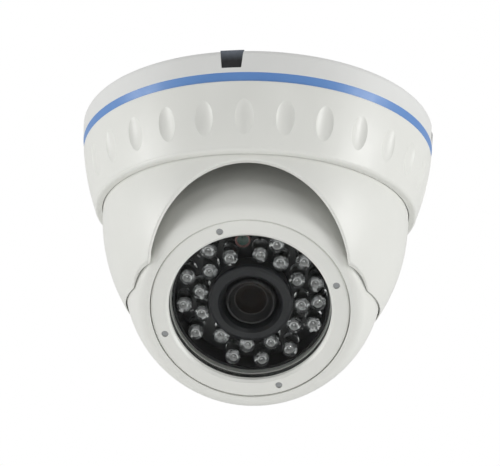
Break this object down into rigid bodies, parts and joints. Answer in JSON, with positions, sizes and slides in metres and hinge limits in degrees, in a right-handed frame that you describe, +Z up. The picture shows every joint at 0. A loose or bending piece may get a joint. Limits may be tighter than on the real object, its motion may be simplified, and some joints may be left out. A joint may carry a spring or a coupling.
{
  "type": "dome security camera",
  "caption": "Ceiling-mount turret dome camera: twist-lock base cover, panning turret, tilting and rolling ball with a lens and infrared lamps behind a flat window.",
  "frame": {"origin": "centre of the ceiling mounting face, on the pan axis", "axes": "+Z points up into the ceiling along the pan axis; the turret and lens look towards -Y and down; +X is to the right seen from in front"},
  "size_m": [0.1044, 0.1044, 0.0828],
  "materials": {
    "white_casting": "satin",
    "blue_trim": "satin",
    "black_rubber": "matte",
    "nylon": "matte",
    "steel": "satin",
    "window_glass": "gloss",
    "clear_epoxy": "gloss",
    "lens_glass": "gloss",
    "sensor_head": "gloss",
    "black_board": "satin",
    "green_board": "satin",
    "black_plastic": "matte",
    "black_anodised": "satin",
    "sensor_chip": "gloss",
    "brass": "satin"
  },
  "bodies": {
    "base": {"base_plate": "white_casting", "notch_plugs": "black_rubber", "cable_grommet": "black_rubber", "trim_ring": "blue_trim", "pan_friction_ring": "black_rubber"},
    "cover": {"cover_ring": "white_casting", "slip_ring": "nylon"},
    "turret": {"turret_shell": "white_casting", "pivot_pins": "steel", "pivot_washers": "nylon"},
    "yoke": {"tilt_yoke": "steel"},
    "ball": {"ball_front_shell": "white_casting", "ball_rear_shell": "white_casting", "bezel_ring": "white_casting", "ball_seal": "black_rubber", "swivel_stud": "steel", "swivel_washer": "nylon", "swivel_nut": "steel", "bezel_screws": "steel", "window_glass": "window_glass", "window_gasket": "black_rubber", "outer_leds": "clear_epoxy", "inner_leds": "clear_epoxy", "light_sensor": "sensor_head", "lamp_board": "black_board", "light_baffle": "black_plastic", "baffle_screws": "steel", "lens_hood": "black_rubber", "lens_barrel": "black_anodised", "lens_front_element": "lens_glass", "lens_rear_element": "lens_glass", "lens_holder": "black_plastic", "sensor_board": "green_board", "image_sensor": "sensor_chip", "infrared_filter": "lens_glass", "standoffs": "brass", "board_screws": "steel", "board_connectors": "nylon", "shell_pins": "steel"}
  },
  "joints": [
    {"name": "cover_twist", "type": "hinge", "parent": "base", "child": "cover", "pos_m": [0, 0, -0.014], "axis": [0, 0, -1], "range_deg": [0, 42]},
    {"name": "pan", "type": "hinge", "parent": "base", "child": "turret", "pos_m": [0, 0, -0.0257], "axis": [0, 0, 1], "range_deg": [-175, 175]},
    {"name": "tilt", "type": "hinge", "parent": "turret", "child": "yoke", "pos_m": [0, 0, -0.04665], "axis": [-1, 0, 0], "range_deg": [-42.5, 25]},
    {"name": "lens_roll", "type": "hinge", "parent": "yoke", "child": "ball", "pos_m": [0, 0, -0.04665], "axis": [0, -0.6756, -0.7373], "range_deg": [-170, 170]}
  ]
}
